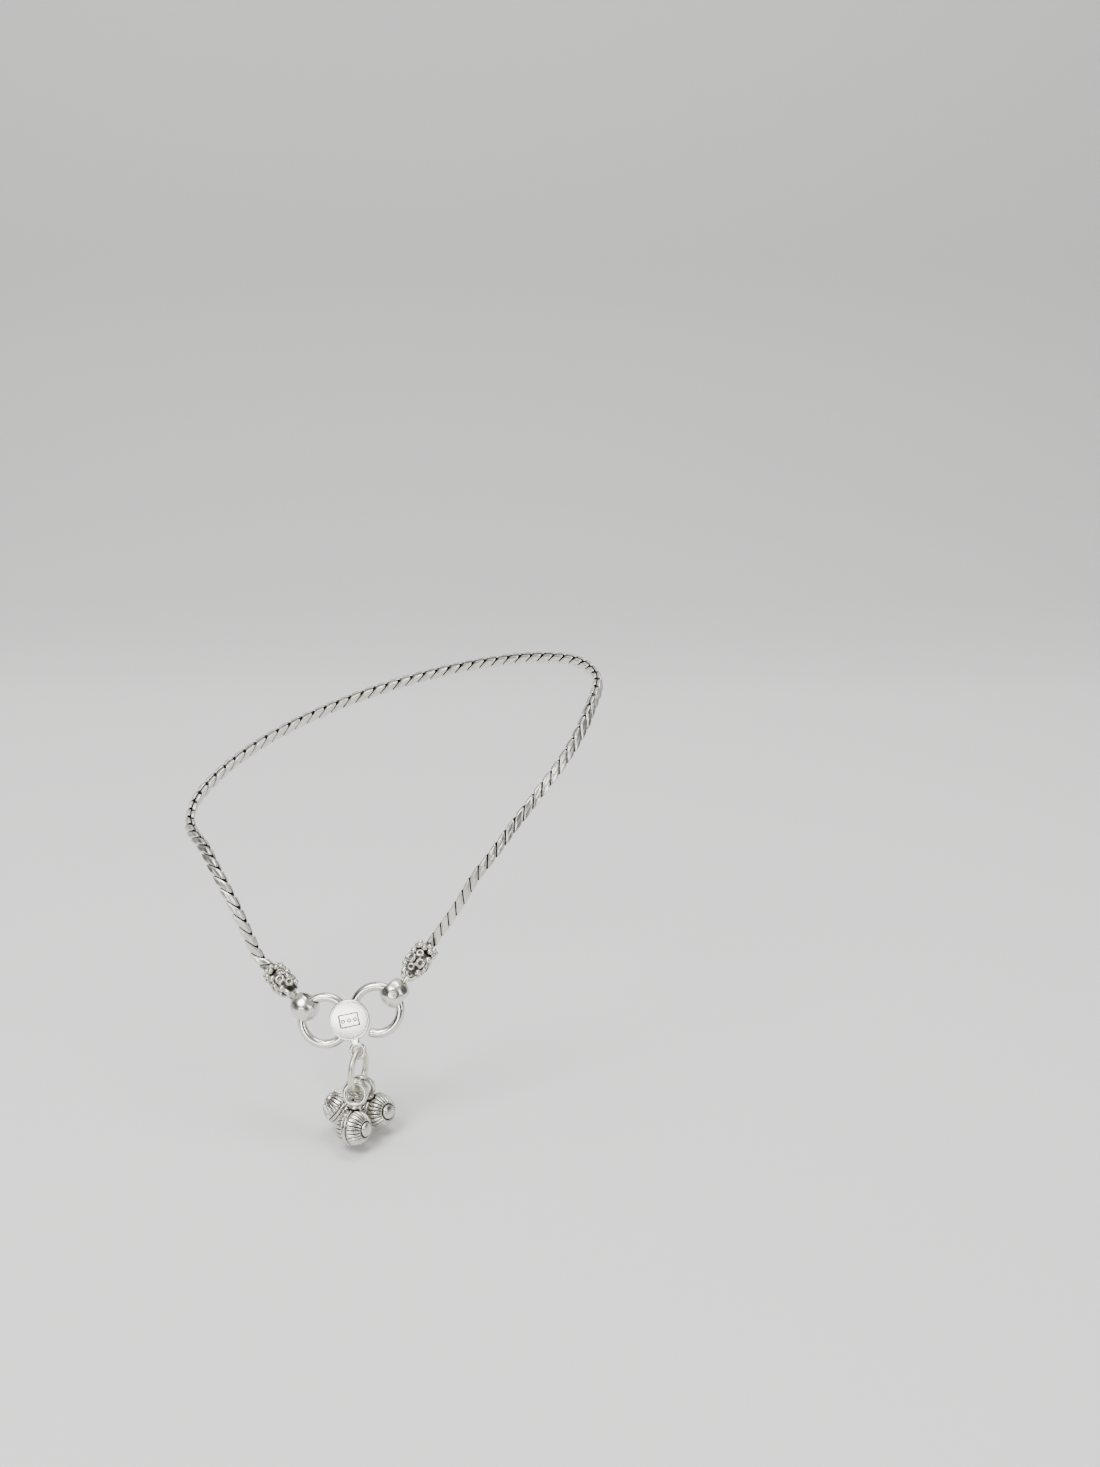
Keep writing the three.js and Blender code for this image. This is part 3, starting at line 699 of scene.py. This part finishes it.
def cap_shape(seed):
    random = np.random.default_rng(seed)
    shape = Shape()
    body = [(0, 0.0), (CAP_END / 2 - 0.15, 0.0), (CAP_END / 2, 0.12)]
    body += [(barrel_radius(z), z) for z in np.linspace(0.3, barrel_length - 0.1, 14)]
    collar = barrel_length + CAP_GROOVE_LENGTH
    body += [(CAP_GROOVE / 2, barrel_length), (CAP_GROOVE / 2, collar - 0.02)]
    body += [(CAP_COLLAR / 2 - 0.1, collar), (CAP_COLLAR / 2, collar + 0.1)]
    body += [(CAP_COLLAR / 2, CAP_LENGTH - 0.1), (CAP_COLLAR / 2 - 0.1, CAP_LENGTH)]
    socket_floor = CAP_LENGTH - SOCKET_DEPTH
    body += [(socket_radius, CAP_LENGTH), (socket_radius, socket_floor), (0, socket_floor)]
    points, faces = lathed(body, 48)
    height = points[:, 2]
    radius = np.hypot(points[:, 0], points[:, 1])
    dark = np.where(height > collar - 0.05, 0.64, 0.6)
    # Painted shade: the socket's inside, where the chain goes in, is black.
    in_socket = (radius < socket_radius + 0.02) & (height > socket_floor - 0.01)
    dark = np.where(in_socket, 1.0, dark)
    shape.add(points + [0, 0, cap_start], faces, dark)

    for row, (diameter, height) in enumerate(STUD_ROWS):
        tip = 0.3 * (1 - row)
        for i in range(STUDS_PER_ROW):
            angle = TURN * (i + (row % 2) / 2) / STUDS_PER_ROW + random.uniform(-0.05, 0.05)
            z = barrel_length * (row + 0.5) / len(STUD_ROWS) + random.uniform(-0.06, 0.06)
            wide = diameter * random.uniform(0.93, 1.06)
            place = outward_place(angle, barrel_radius(z) - 0.04, z + cap_start, -tip)
            if row != 1 and i % 2:
                stud, stud_faces = ball(wide / 2)
                stud = stud * 0.94 + [0, 0, 0.15]
                # Painted shade: the ball darkens underneath, where it sits on the barrel.
                dark = smooth(0.05, -0.2, stud[:, 2]) * 0.6
            else:
                stud, stud_faces, dark = stud_shape(wide, height)
            shape.add(place.point(stud), stud_faces, dark)
    for row in range(1, len(STUD_ROWS)):
        for i in range(2 * STUDS_PER_ROW):
            angle = TURN * (i + 0.5) / (2 * STUDS_PER_ROW) + random.uniform(-0.05, 0.05)
            z = barrel_length * row / len(STUD_ROWS)
            grain, grain_faces = ball(GAP_GRAIN / 2 * random.uniform(0.85, 1.15))
            place = outward_place(angle, barrel_radius(z) + GAP_GRAIN * 0.2, z + cap_start)
            # Painted shade: the grain darkens underneath, where it sits on the barrel.
            dark = smooth(0.0, -0.3, grain[:, 2])
            shape.add(place.point(grain), grain_faces, dark)
    for number, (level, diameter, count) in enumerate(COLLAR_GRAINS):
        for i in range(count):
            angle = TURN * (i + number / 2) / count + random.uniform(-0.05, 0.05)
            grain, grain_faces = ball(diameter / 2 * random.uniform(0.92, 1.06))
            place = outward_place(angle, CAP_COLLAR / 2 + 0.04, collar + level + cap_start)
            # Painted shade: the grain darkens underneath, where it sits on the collar.
            dark = smooth(0.1, -0.3, grain[:, 2])
            shape.add(place.point(grain), grain_faces, dark)

    bend = (BAIL_OUTER_WIDTH - BAIL_WIRE) / 2
    rise = min(bend, cap_start - bail_seat)
    arch = [(-bend, 0, cap_start + SOLDER), (-bend, 0, cap_start - 0.02)]
    for a in np.linspace(0, math.pi, 29):
        arch.append((-bend * math.cos(a), 0, bail_seat + rise * (1 - math.sin(a))))
    arch += [(bend, 0, cap_start - 0.02), (bend, 0, cap_start + SOLDER)]
    outward = np.column_stack([np.zeros(len(arch)), np.ones(len(arch)), np.zeros(len(arch))])
    wire, wire_faces = swept(arch, outward, BAIL_WIRE, BAIL_WIRE, 18, False)
    return shape.add(wire, wire_faces, 0.05)


chain_starts, chain_ends = [], []
for number, side in enumerate(SIDES):
    angle = math.radians(side["angle"])
    out = np.array([math.cos(angle), 0, math.sin(angle)])
    centre = out * (ring_radius + bead_offset) + [side["ring"] * ring_reach, 0, 0]
    along = clasp.direction([-math.sin(angle), 0, math.cos(angle)])
    pull = unit(side["pull"])
    viewer = np.array([0, 1, 0])
    bail_across = viewer if side["edge_on"] else np.cross(viewer, pull)
    strung = framed(clasp.point(centre), bail_across, pull)
    bore_axis = unit(strung.turn.T @ along)
    name = side["name"]
    bead = bead_shape(bore_axis, 11 + number).moved(strung)
    piece(f"hammered_bead_{name}", bead, polished, "band", [f"bead_{name}"])
    cap = cap_shape(21 + number).moved(strung)
    piece(f"studded_cap_{name}", cap, oxidised, "band", [f"cap_{name}"])
    chain_starts.append(strung.point((0, 0, cap_top - SOCKET_DEPTH + CLEARANCE)))
    chain_ends.append(strung.point((0, 0, cap_top + CHAIN_LEAD)))


# Chain
def route_points():
    """Fine points on a centripetal curve through the route, with the way run so far."""
    corners = [chain_starts[0], chain_ends[0], *CHAIN_ROUTE, chain_ends[1], chain_starts[1]]
    corners = np.array(corners, float)
    corners = np.vstack([2 * corners[0] - corners[1], corners, 2 * corners[-1] - corners[-2]])
    fine = []
    for i in range(1, len(corners) - 2):
        p0, p1, p2, p3 = corners[i - 1 : i + 3]
        steps = [math.sqrt(np.linalg.norm(b - a)) for a, b in ((p0, p1), (p1, p2), (p2, p3))]
        knots = np.cumsum([0] + steps)
        for t in np.linspace(knots[1], knots[2], 40, endpoint=False):
            a1 = p0 + (p1 - p0) * (t - knots[0]) / (knots[1] - knots[0])
            a2 = p1 + (p2 - p1) * (t - knots[1]) / (knots[2] - knots[1])
            a3 = p2 + (p3 - p2) * (t - knots[2]) / (knots[3] - knots[2])
            b1 = a1 + (a2 - a1) * (t - knots[0]) / (knots[2] - knots[0])
            b2 = a2 + (a3 - a2) * (t - knots[1]) / (knots[3] - knots[1])
            fine.append(b1 + (b2 - b1) * (t - knots[1]) / (knots[2] - knots[1]))
    fine.append(corners[-2])
    fine = np.array(fine)
    run = np.concatenate([[0], np.cumsum(np.linalg.norm(np.diff(fine, axis=0), axis=1))])
    return fine, run


def leaf_shape(pitch, lean):
    """One leaf on a face: x along the chain, y across, z outward; lean slants it either way."""
    turn = TURN * (np.arange(LEAF_STEPS) + 0.5) / LEAF_STEPS
    along = np.sign(np.cos(turn)) * np.abs(np.cos(turn)) ** (2 / LEAF_CORNER)
    over = np.sign(np.sin(turn)) * np.abs(np.sin(turn)) ** (2 / LEAF_CORNER)
    slant = math.radians(LEAF_ANGLE)
    half_long = (pitch - LEAF_GAP) / 2
    half_wide = CHAIN_WIDTH / 2
    top = CHAIN_THICKNESS / 2
    # how far in from the outline, height, and darkness of each row round the leaf (patina, with painted
    # shade low on the wall)
    section = [(0.3, 0.02, 1.0), (0.07, 0.05, 0.9), (0.0, 0.17, 0.35), (0.0, top - 0.3, 0.2)]
    section += [(0.03, top - 0.15, 0.12), (0.1, top - 0.07, 0.0)]
    section += [(0.24, top - 0.03, 0.0), (0.46, top - 0.01, 0.0)]
    toward_neighbour = np.abs(along) ** 3
    rows, values = [], []
    for inset, level, dark in section:
        x = along * (half_long - inset / math.sin(slant))
        y = over * (half_wide - inset)
        rows.append(np.column_stack([x + lean * y / math.tan(slant), y, np.full(LEAF_STEPS, level)]))
        # Painted shade, with some patina: the wall darkens toward the chain's middle and where it faces the
        # next leaf.
        inner_wall = smooth(top - 0.1, top - 0.35, level)
        values.append(np.maximum(dark, 0.95 * inner_wall * toward_neighbour))
    # past the crease's end, half width, depth, and darkness of each row round the crease (painted shade)
    crease = [(0.12, 0.3, 0.0, 0.0), (0.0, 0.09, 0.0, 0.1), (-0.05, 0.03, 0.025, 0.36)]
    # Painted shade: the shallow crease is drawn as a dark line.
    for reach, width, sunk, dark in crease:
        x = along * (LEAF_CREASE + reach)
        rows.append(np.column_stack([x, over * width + 0.1 * lean * x, np.full(LEAF_STEPS, top - sunk)]))
        values.append(np.full(LEAF_STEPS, dark))
    faces = quads(len(rows), LEAF_STEPS, False, True)
    points = np.vstack(rows + [[[0, 0, section[0][1]], [0, 0, top - 0.025]]])
    first, last = len(points) - 2, len(points) - 1
    final_row = (len(rows) - 1) * LEAF_STEPS
    for j in range(LEAF_STEPS):
        after = (j + 1) % LEAF_STEPS
        faces.append((first, j, after))
        faces.append((last, final_row + after, final_row + j))
    # Painted shade: the centre deep under the leaf is black, and the crease's middle is grey.
    return points, [face[::-1] for face in faces], np.concatenate(values + [[1.0, 0.4]])


def link_shape(pitch):
    """One link: a leaf in front, one behind, and the dark wire that joins them inside."""
    shape = Shape()
    shape.add(*leaf_shape(pitch, 1))
    points, faces, dark = leaf_shape(pitch, -1)
    shape.add(points * [1, 1, -1], [face[::-1] for face in faces], dark)
    angle = TURN * np.arange(CORE_STEPS) / CORE_STEPS
    centres = np.column_stack([
        CORE_REACH * np.cos(angle),
        CORE_SWING * np.sin(2 * angle),
        CORE_DEPTH * np.sin(angle),
    ])
    across = np.tile([0.0, 1.0, 0.0], (CORE_STEPS, 1))
    wire, wire_faces = swept(centres, across, CORE_WIRE, CORE_WIRE, CORE_SIDES, True)
    # Painted shade: the joining wire inside the chain is made nearly black.
    return shape.add(wire, wire_faces, 0.95)


def chain_shape():
    fine, run = route_points()
    length = run[-1]
    whole_link = 2 * (CORE_REACH + CORE_WIRE / 2)
    links = round((length - whole_link) / LINK_PITCH) + 1
    pitch = (length - whole_link) / (links - 1)
    link = link_shape(pitch)
    points = np.vstack(link.points)
    dark = np.concatenate(link.patina_and_shade)
    random = np.random.default_rng(5)
    shape = Shape()
    for i in range(links):
        middle = whole_link / 2 + i * pitch
        jog = about([1, 0, 0], random.normal(0, 0.02)) @ about([0, 0, 1], random.normal(0, 0.008))
        local = points @ jog.T
        # each point follows the chain's bend, so neighbours stay clear of each other
        at = np.clip(middle + local[:, 0], 0, length)
        here = np.column_stack([np.interp(at, run, fine[:, k]) for k in range(3)])
        before = np.column_stack([np.interp(at - BEND_SPAN, run, fine[:, k]) for k in range(3)])
        after = np.column_stack([np.interp(at + BEND_SPAN, run, fine[:, k]) for k in range(3)])
        ahead = unit(after - before)
        outward = unit(np.column_stack([here[:, 0] / FACE_ALONG**2, here[:, 1] / FACE_ACROSS**2, 0 * at]))
        outward[:, 2] = FACE_LIFT
        outward = unit(outward - ahead * np.sum(outward * ahead, 1, keepdims=True))
        across = np.cross(outward, ahead)
        beyond = (middle + local[:, 0] - at)[:, None]
        placed = here + ahead * beyond + across * local[:, 1:2] + outward * local[:, 2:3]
        shape.add(placed, link.faces, np.clip(dark + random.uniform(-0.03, 0.06), 0, 1))
    return shape


piece("curb_chain", chain_shape(), filed_silver, "band", ["chain"])


# Drop ring and bells
drop_radius = (DROP_RING_OUTER - DROP_RING_WIRE) / 2
downhill = unit(-clasp.turn[2] * [1, 0, 1])
eye_low = clasp.point(np.array([eye_side, plate_middle, eye_drop]) + downhill * eye_radius)
drop_centre = eye_low + [0, 0, (EYE_WIRE + DROP_RING_WIRE) / 2 + CLEARANCE - drop_radius]
drop_turn = math.pi / 2 - math.radians(DROP_RING_TURN)
ring_back = np.array([math.cos(drop_turn), math.sin(drop_turn), 0])
drop_wire, drop_faces = ring(drop_radius, DROP_RING_WIRE, 120, 24)
drop = Shape().add(drop_wire, drop_faces, 0.02).moved(Place(drop_centre, turned("z", drop_turn)))
piece("jump_ring", drop, wire_silver, "drop", ["drop_ring"])

bell_radius = BELL_DIAMETER / 2
loop_radius = (BELL_LOOP_OUTER - BELL_LOOP_WIRE) / 2
loop_hang = loop_radius - (BELL_LOOP_WIRE + DROP_RING_WIRE) / 2 - CLEARANCE
bell_stalk = loop_radius + BELL_LOOP_WIRE / 2 + BELL_NECK + bell_radius


def bell_ball():
    """A ball about z: boss at each pole, flutes, and a raised band round the seam."""
    boss = math.radians(BELL_BOSS_ANGLE)
    seam = math.radians(BELL_SEAM_ANGLE)
    half = math.pi / 2
    polar = np.concatenate([
        np.linspace(0.12, boss - 0.05, 9),
        np.linspace(boss - 0.02, boss + 0.16, 10),
        np.linspace(boss + 0.2, half - seam - 0.14, 14),
        np.linspace(half - seam - 0.1, half - seam + 0.06, 9),
        np.linspace(half - seam + 0.085, half, 5),
    ])
    polar = np.concatenate([polar, math.pi - polar[-2::-1]])
    per_flute = 12
    around = BELL_FLUTES * per_flute
    angle = TURN * np.arange(around) / around
    phase = np.abs(((angle * BELL_FLUTES / TURN) % 1) - 0.5) * 2  # 1 at a groove, 0 on a rib's middle
    rows, values = [], []
    for p in polar:
        from_pole = min(p, math.pi - p)
        fluted = smooth(boss + 0.04, boss + 0.16, from_pole)
        fluted = fluted * (1 - smooth(half - seam - 0.1, half - seam - 0.02, from_pole))
        ditch = math.exp(-(((from_pole - boss - 0.045) / 0.05) ** 2))
        line = math.exp(-(((from_pole - (half - seam)) / 0.03) ** 2))
        wedge = smooth(half - seam, boss, from_pole)  # grooves open toward the boss
        groove = smooth(0.68 - 0.26 * wedge, 0.9 - 0.12 * wedge, phase)
        band = smooth(half - seam + 0.01, half - seam + 0.07, from_pole)
        crown = smooth(boss + 0.01, boss - 0.12, from_pole)
        radius = bell_radius - 0.2 + 0.05 * (1 - phase**4) * fluted + 0.2 * band + 0.16 * crown
        radius = radius - 0.24 * groove * fluted - 0.24 * ditch - 0.12 * line + 0.08 * fluted
        rows.append(np.column_stack([
            radius * math.sin(p) * np.cos(angle),
            radius * math.sin(p) * np.sin(angle),
            radius * math.cos(p),
        ]))
        dark = np.maximum((0.72 + 0.2 * wedge) * groove * fluted, 0.95 * ditch)
        values.append(np.clip(np.maximum(dark, 0.9 * line), 0, 1))
    points = np.vstack(rows + [[[0, 0, bell_radius - 0.03], [0, 0, -(bell_radius - 0.03)]]])
    faces = quads(len(rows), around, False, True)
    first, last = len(points) - 2, len(points) - 1
    top = (len(rows) - 1) * around
    for j in range(around):
        after = (j + 1) % around
        faces.append((first, j, after))
        faces.append((last, top + after, top + j))
    return points, faces, np.concatenate(values + [np.zeros(2)])


def bell_shape(pole_turn):
    shape = Shape()
    loop, loop_faces = ring(loop_radius, BELL_LOOP_WIRE, 84, 20)
    shape.add(loop, loop_faces, 0.05)
    foot = -(loop_radius + BELL_LOOP_WIRE / 2 + BELL_NECK)
    neck = [(0, foot - 0.25), (1.25, foot - 0.25), (1.1, foot - 0.06), (0.8, foot + 0.1)]
    neck += [(0.72, foot + 0.3), (0.6, foot + 0.6), (0, foot + 0.75)]
    points, faces = lathed(neck, 28)
    # Painted shade: the neck darkens toward the ball, where it sits.
    shape.add(points, faces, smooth(foot + 0.35, foot - 0.1, points[:, 2]) * 0.8)
    points, faces, dark = bell_ball()
    pole = turned("z", math.radians(pole_turn)) @ turned("x", -math.pi / 2)
    near_stalk = points @ pole.T
    # Painted shade: the ball darkens round the neck's seat.
    dark = np.maximum(dark, 0.75 * smooth(bell_radius * 0.93, bell_radius * 0.99, near_stalk[:, 2]))
    shape.add(near_stalk + [0, 0, -bell_stalk], faces, dark)
    return shape


for bell in BELLS:
    seat = bell["seat"] * (BELL_LOOP_WIRE + CLEARANCE) / drop_radius
    seat_point = drop_centre + ring_back * drop_radius * math.sin(seat)
    seat_point = seat_point + [0, 0, -drop_radius * math.cos(seat)]
    spread = bell_radius + BELL_GAP / 2
    ball_at = drop_centre + [bell["across"] * spread, bell["back"] * spread, 0]
    reach = loop_hang + bell_stalk
    sideways = math.hypot(ball_at[0] - seat_point[0], ball_at[1] - seat_point[1])
    ball_at[2] = seat_point[2] - math.sqrt(reach**2 - sideways**2)
    stalk_up = unit(seat_point - ball_at)
    loop_centre = seat_point - stalk_up * loop_hang
    heading = ring_back * math.cos(seat) + np.array([0, 0, math.sin(seat)])
    facing = about(stalk_up, -math.radians(bell["loop"])) @ heading
    hung = framed(loop_centre, np.cross(facing, stalk_up), stalk_up)
    shape = bell_shape(bell["pole"]).moved(hung)
    piece(f"fluted_{bell['name']}", shape, oxidised, "bells", [bell["name"]])


def grade(tree, space, low, high, tones, socket):
    """Greys that change with height, from low to high."""
    place = tree.nodes.new("ShaderNodeTexCoord")
    split = tree.nodes.new("ShaderNodeSeparateXYZ")
    share = tree.nodes.new("ShaderNodeMapRange")
    share.inputs["From Min"].default_value = low
    share.inputs["From Max"].default_value = high
    ramp = tree.nodes.new("ShaderNodeValToRGB")
    tree.links.new(place.outputs[space], split.inputs[0])
    tree.links.new(split.outputs["Z"], share.inputs["Value"])
    tree.links.new(share.outputs[0], ramp.inputs["Fac"])
    tree.links.new(ramp.outputs[0], socket)
    steps = ramp.color_ramp.elements
    steps[0].position, steps[-1].position = tones[0][0], tones[-1][0]
    for position, _ in tones[1:-1]:
        steps.new(position)
    for step, (_, grey) in zip(steps, tones):
        step.color = (grey, grey, grey * 0.99, 1)


# Floor and backdrop: one sheet with a wide cove, with painted shade that darkens it up the wall
PAPER_SHADE_TONES = [(0.0, 0.79), (0.005, 0.76), (0.02, 0.68), (0.05, 0.61), (0.095, 0.555), (0.24, 0.52)]
PAPER_SHADE_TONES += [(0.6, 0.5), (1.0, 0.53)]
PAPER_RISE = 0.25  # height over which the tones run
FLOOR_GAP = 0.0012  # below the lowest bell


def backdrop():
    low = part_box("bell_front")[0].z - FLOOR_GAP
    near, far, high, bend = -0.2, 0.42, 1.2, 0.16
    profile = [(near, low), (far - bend, low)]
    for a in np.linspace(0.05, math.pi / 2, 28):
        profile.append((far - bend + bend * math.sin(a), low + bend - bend * math.cos(a)))
    profile += [(far, high)]
    points = []
    for x in (-1.6, 1.6):
        points += [(x, y, z) for y, z in profile]
    count = len(profile)
    faces = [(i, i + 1, count + i + 1, count + i) for i in range(count - 1)]
    mesh = bpy.data.meshes.new("backdrop")
    mesh.from_pydata(points, [], faces)
    mesh.shade_smooth()
    material = bpy.data.materials.new("pale_paper")
    material.use_nodes = True
    paper = material.node_tree.nodes["Principled BSDF"]
    paper.inputs["Roughness"].default_value = 0.75
    # Painted shade: the paper's grey deepens with height, for the light falling off up the wall.
    grade(material.node_tree, "Object", low, low + PAPER_RISE, PAPER_SHADE_TONES, paper.inputs["Base Color"])
    mesh.materials.append(material)
    obj = bpy.data.objects.new("backdrop", mesh)
    bpy.context.scene.collection.objects.link(obj)


backdrop()

# Camera at the photograph's place and angle
PHOTO_HEIGHT = 1467
FOCAL_PIXELS = 1700
SENSOR = 36
CAMERA_AT = (0.0336, -0.3479, 0.1202)
CAMERA_PITCH = 18  # degrees down
camera_data = bpy.data.cameras.new("camera")
camera_data.sensor_width = SENSOR
camera_data.sensor_fit = "AUTO"
camera_data.lens = FOCAL_PIXELS * SENSOR / PHOTO_HEIGHT
camera_data.clip_start = 0.01
camera = bpy.data.objects.new("camera", camera_data)
camera.location = CAMERA_AT
camera.rotation_euler = (math.radians(90 - CAMERA_PITCH), 0, 0)
bpy.context.scene.collection.objects.link(camera)
bpy.context.scene.camera = camera


# Soft studio light
def softbox(name, location, target, size, power, colour=(1, 1, 1)):
    data = bpy.data.lights.new(name, "AREA")
    data.shape = "RECTANGLE"
    data.size, data.size_y = size
    data.energy = power
    data.color = colour
    obj = bpy.data.objects.new(name, data)
    obj.location = location
    aim = Vector(target) - Vector(location)
    obj.rotation_euler = aim.to_track_quat("-Z", "Y").to_euler()
    bpy.context.scene.collection.objects.link(obj)


softbox("key", (-0.32, -0.42, 0.72), (0, 0, -0.03), (0.42, 0.42), 8.5)
softbox("low", (-0.27, -0.8, 0.10), (0, 0, -0.04), (0.34, 0.22), 2.2)
softbox("side", (0.62, -0.5, 0.3), (0, 0, -0.03), (0.2, 0.5), 2.5)
softbox("top", (0.1, 0.12, 0.8), (0, 0, -0.02), (0.5, 0.3), 4.5)

# Room: pale overhead, dark toward the walls and below
ROOM = [(0.0, 0.1), (0.42, 0.14), (0.5, 0.22), (0.6, 0.06), (0.72, 0.08), (0.8, 0.85), (1.0, 1.0)]
world = bpy.data.worlds.new("studio")
world.use_nodes = True
surround = world.node_tree.nodes["Background"]
grade(world.node_tree, "Generated", -1, 1, ROOM, surround.inputs["Color"])
surround.inputs["Strength"].default_value = 0.5
bpy.context.scene.world = world
